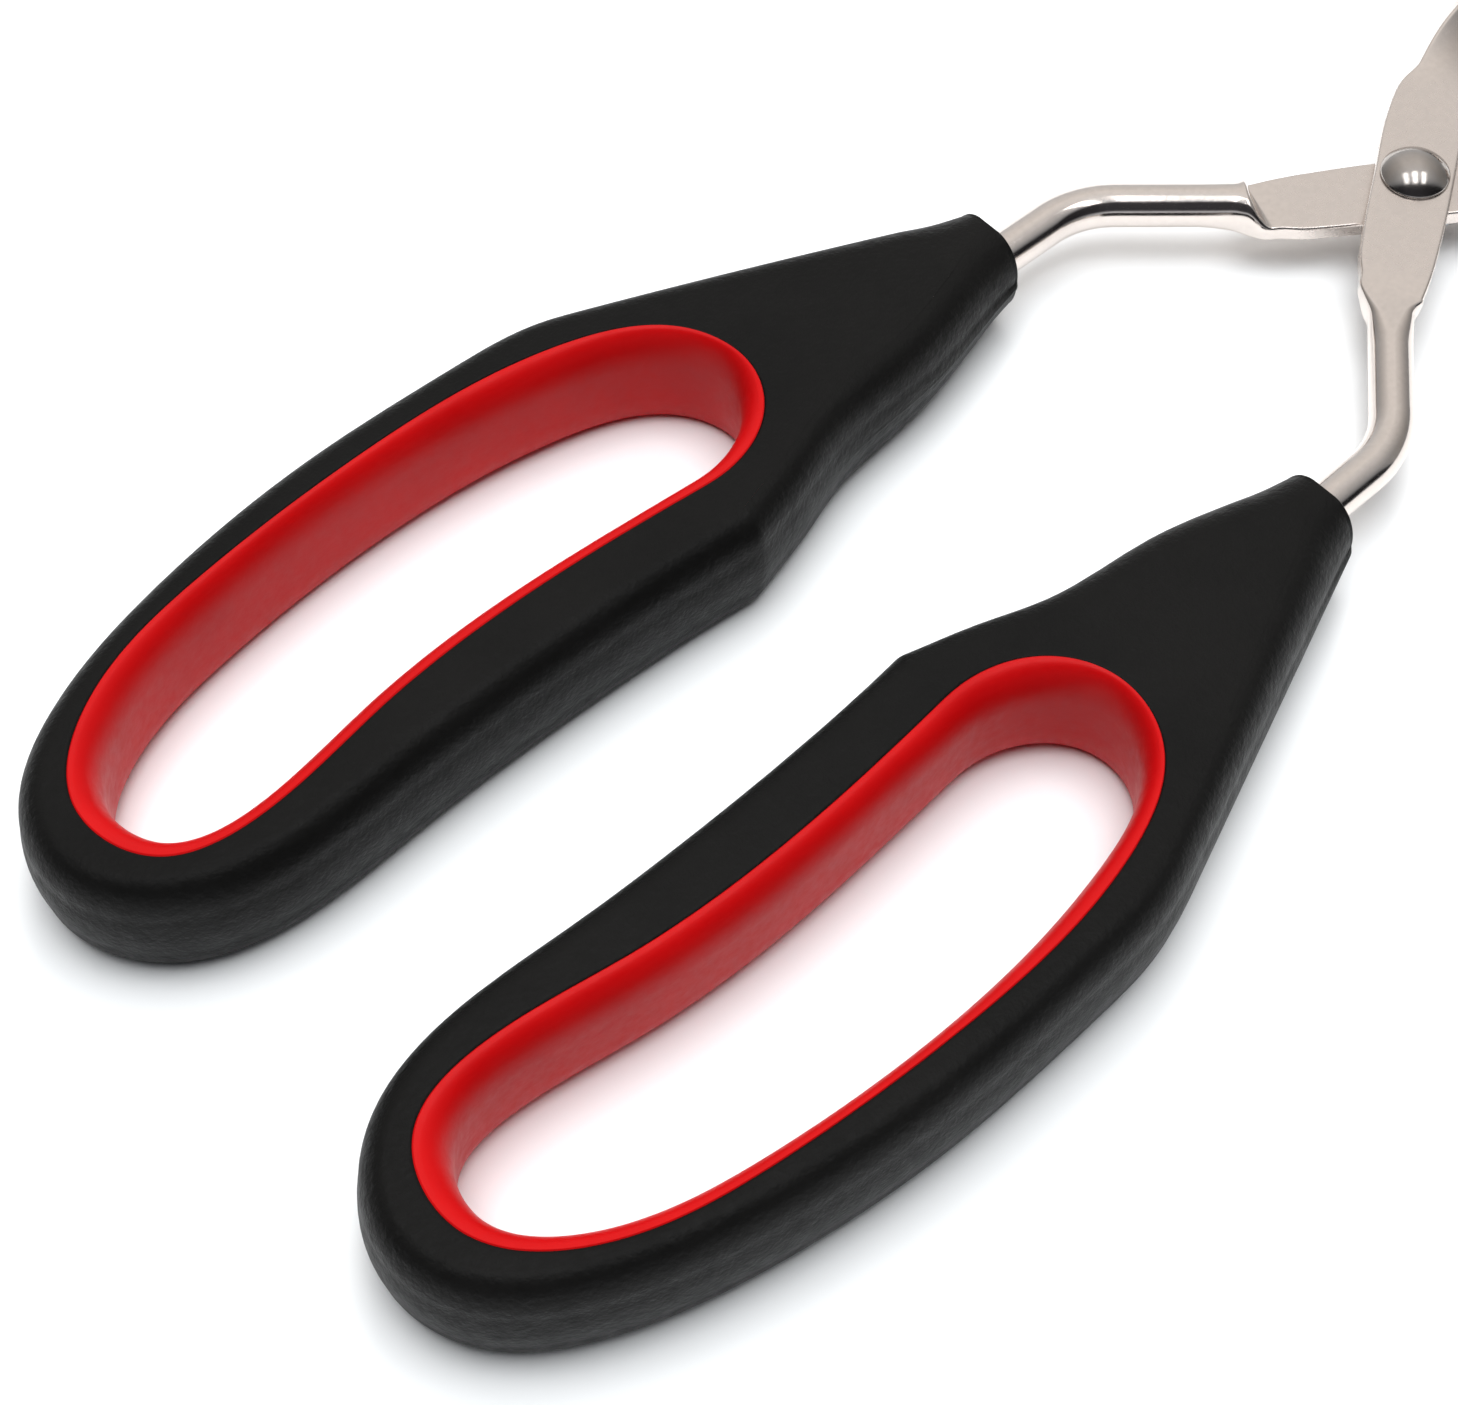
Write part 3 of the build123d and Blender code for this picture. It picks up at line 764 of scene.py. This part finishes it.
def washer_plastic():
    """Natural moulded plastic of the friction washer."""
    material, nodes, links, shader = new_material("washer_plastic")
    broad = noise(nodes, links, 300, 3)
    links.new(ramp(nodes, links, broad, [(0.3, (0.62, 0.61, 0.57)), (0.7, (0.7, 0.69, 0.65))]),
              shader.inputs["Base Color"])
    links.new(span(nodes, links, noise(nodes, links, 900, 3), 0.35, 0.5), shader.inputs["Roughness"])
    bump(nodes, links, [(noise(nodes, links, 1500, 2), 0.00004, 0.4)], shader)
    return material


# ---------------------------------------------------------------- the tongs
def build_tongs():
    black, red = black_plastic(), red_liner()
    arm_steel = steel("arm_steel", (0.78, 0.71, 0.665), (0.22, 0.34), 0.9)
    # Painted shade: the rivet's steel is darker than the arms' steel to stand in for the darker reflection on
    # its domed head; the retaining washer shares it
    rivet_steel = steel("rivet_steel", (0.50, 0.46, 0.43), (0.13, 0.19), 0.2)
    spring_steel = steel("spring_steel", (0.60, 0.60, 0.61), (0.2, 0.3), 0.0)
    plastic = washer_plastic()
    handle, handle_faces = build_handle()
    liner, liner_faces = build_liner()
    arm, arm_faces = build_arm()
    add_mesh("left_grip", handle, handle_faces, "left_half", black, "black_moulding", ["left_handle"])
    add_mesh("right_grip", turned_over(handle), handle_faces, "right_half", black, "black_moulding",
             ["right_handle"])
    add_mesh("left_soft_liner", liner, liner_faces, "left_half", red, "red_liner", ["left_liner"])
    add_mesh("right_soft_liner", turned_over(liner), liner_faces, "right_half", red, "red_liner",
             ["right_liner"])
    add_mesh("lower_steel_arm", arm, arm_faces, "left_half", arm_steel, "arm_steel", ["lower_arm"])
    add_mesh("upper_steel_arm", turned_over(arm), arm_faces, "right_half", arm_steel, "arm_steel",
             ["upper_arm"])
    flash, flash_faces = build_flash()
    add_mesh("left_stem_flash", flash, flash_faces, "left_half", black, "black_moulding")
    add_mesh("right_stem_flash", turned_over(flash), flash_faces, "right_half", black, "black_moulding")
    rivet, rivet_faces = build_rivet()
    add_mesh("domed_rivet", rivet, rivet_faces, "right_half", rivet_steel, "rivet_steel", ["pivot_rivet"])
    springs = build_spring()
    add_mesh("spring_right_leg", *springs[0], "right_half", spring_steel, "spring_steel", ["opening_spring"])
    add_mesh("spring_left_leg", *springs[1], "left_half", spring_steel, "spring_steel", ["opening_spring"])
    for node, material in (("friction_washer", plastic), ("retaining_washer", rivet_steel)):
        data = frame["nodes"][node].data
        data.materials.clear()
        data.materials.append(material)


# ---------------------------------------------------------------- stage, light and camera
CAMERA_FROM_PIVOT = (-258.86, -146.74)   # camera's place in plan, mm
CAMERA_HEIGHT = 308.0                    # above the surface that the tongs lie on, mm
CAMERA_TURN = 41.97                      # direction of view from the Y axis towards X, degrees
CAMERA_PITCH = 56.64                     # below the horizon, degrees
LENS = 72.33

# Soft lights: name, place and target in metres, size, watts, colour
LIGHTS = [
    ("overhead", (-0.05, 0.0, 1.1), (-0.05, 0, 0), (0.9, 0.9), 15.0, (0.95, 0.98, 1.0)),
    ("far_side", (0.75, 0.80, 1.15), (0, 0, 0), (0.7, 0.5), 6.5, (1.0, 0.965, 0.93)),
]
WINDOW_PLACE = (0.15, 0.4, 1.0)          # short of the pivot, spacing, height, metres
WINDOW_SIZE = (0.2, 0.55)
WINDOW_WATTS = 1.0

# Surround: share of the half turn from the far horizon over the zenith to the near horizon, and its colour
SURROUND = [
    (0.0, (0.62, 0.64, 0.66)),
    (0.12, (0.70, 0.69, 0.68)),
    (0.28, (0.84, 0.81, 0.78)),
    (0.52, (0.86, 0.87, 0.88)),
    (0.60, (0.60, 0.62, 0.65)),
    (0.66, (0.04, 0.04, 0.045)),
    (0.89, (0.04, 0.04, 0.045)),
    (0.94, (0.55, 0.57, 0.60)),
    (1.0, (0.62, 0.64, 0.66)),
]


def set_camera():
    data = bpy.data.cameras.new("camera")
    data.sensor_fit = "HORIZONTAL"
    data.sensor_width = 36.0
    data.lens = LENS
    data.clip_start = 0.01
    camera = bpy.data.objects.new("camera", data)
    bpy.context.scene.collection.objects.link(camera)
    turn, pitch = math.radians(CAMERA_TURN), math.radians(CAMERA_PITCH)
    level = Vector((math.sin(turn), math.cos(turn), 0))
    forward = level * math.cos(pitch) + Vector((0, 0, -math.sin(pitch)))
    right = Vector((level.y, -level.x, 0))
    up = right.cross(forward)
    place = Vector(((PIVOT[0] + CAMERA_FROM_PIVOT[0]) * MM, CAMERA_FROM_PIVOT[1] * MM, CAMERA_HEIGHT * MM))
    camera.matrix_world = Matrix((
        (right.x, up.x, -forward.x, place.x),
        (right.y, up.y, -forward.y, place.y),
        (right.z, up.z, -forward.z, place.z),
        (0, 0, 0, 1),
    ))
    bpy.context.scene.camera = camera


def area_light(name, place, target, size, power, colour):
    data = bpy.data.lights.new(name, "AREA")
    data.shape = "RECTANGLE"
    data.size, data.size_y = size
    data.energy = power
    data.color = colour
    lamp = bpy.data.objects.new(name, data)
    bpy.context.scene.collection.objects.link(lamp)
    lamp.location = place
    lamp.visible_glossy = False
    lamp.rotation_euler = (Vector(target) - Vector(place)).to_track_quat("-Z", "Y").to_euler()
    return lamp


def add_windows():
    """Three overhead windows that show only as reflections in the steel."""
    turn = math.radians(CAMERA_TURN)
    back, spacing, height = WINDOW_PLACE
    for k in (-1, 0, 1):
        x = PIVOT[0] * MM - back * math.sin(turn) + spacing * k * math.cos(turn)
        y = -back * math.cos(turn) - spacing * k * math.sin(turn)
        place = (x, y, height)
        window = area_light(f"window_{k + 2}", place, (x, y, 0), WINDOW_SIZE, WINDOW_WATTS, grey(1.0))
        window.rotation_euler = (0, 0, -turn)
        window.visible_glossy = True
        window.visible_diffuse = False


def set_stage():
    """White table, soft lights and the plain view transform."""
    material, nodes, links, shader = new_material("white_table")
    links.new(ramp(nodes, links, noise(nodes, links, 3, 2), [(0.3, grey(0.86)), (0.7, grey(0.9))]),
              shader.inputs["Base Color"])
    shader.inputs["Roughness"].default_value = 0.55
    shader.inputs["Specular IOR Level"].default_value = 0.3
    data = bpy.data.meshes.new("table")
    reach = 2.5
    data.from_pydata([(-reach, -reach, 0), (reach, -reach, 0), (reach, reach, 0), (-reach, reach, 0)], [],
                     [(0, 1, 2, 3)])
    data.materials.append(material)
    table = bpy.data.objects.new("table", data)
    bpy.context.scene.collection.objects.link(table)
    for light in LIGHTS:
        area_light(*light)
    add_windows()
    bpy.context.scene.view_settings.view_transform = "Standard"


def set_surround():
    """Studio surround: bright from the far side to overhead, dark on the camera's side, pale low down."""
    world = bpy.data.worlds.new("surround")
    bpy.context.scene.world = world
    world.use_nodes = True
    nodes, links = world.node_tree.nodes, world.node_tree.links
    place = nodes.new("ShaderNodeTexCoord")
    turn = math.radians(CAMERA_TURN)
    away = nodes.new("ShaderNodeVectorMath")
    away.operation = "DOT_PRODUCT"
    away.inputs[1].default_value = (math.sin(turn), math.cos(turn), 0)
    links.new(place.outputs["Generated"], away.inputs[0])
    parts = nodes.new("ShaderNodeSeparateXYZ")
    links.new(place.outputs["Generated"], parts.inputs["Vector"])
    angle = nodes.new("ShaderNodeMath")
    angle.operation = "ARCTAN2"
    links.new(parts.outputs["Z"], angle.inputs[0])
    links.new(away.outputs["Value"], angle.inputs[1])
    share = nodes.new("ShaderNodeMapRange")
    share.inputs["From Max"].default_value = math.pi
    links.new(angle.outputs["Value"], share.inputs["Value"])
    tint = ramp(nodes, links, share.outputs["Result"], SURROUND)
    links.new(tint, nodes["Background"].inputs["Color"])
    beside = nodes.new("ShaderNodeVectorMath")
    beside.operation = "DOT_PRODUCT"
    beside.inputs[1].default_value = (math.cos(turn), -math.sin(turn), 0)
    links.new(place.outputs["Generated"], beside.inputs[0])
    far_out = nodes.new("ShaderNodeMath")
    far_out.operation = "ABSOLUTE"
    links.new(beside.outputs["Value"], far_out.inputs[0])
    fade = nodes.new("ShaderNodeMapRange")
    fade.inputs["From Min"].default_value = 0.25
    fade.inputs["From Max"].default_value = 0.9
    fade.inputs["To Min"].default_value = 1.0
    fade.inputs["To Max"].default_value = 0.35
    links.new(far_out.outputs["Value"], fade.inputs["Value"])
    links.new(fade.outputs["Result"], nodes["Background"].inputs["Strength"])


build_tongs()
set_camera()
set_stage()
set_surround()
bpy.context.view_layer.update()
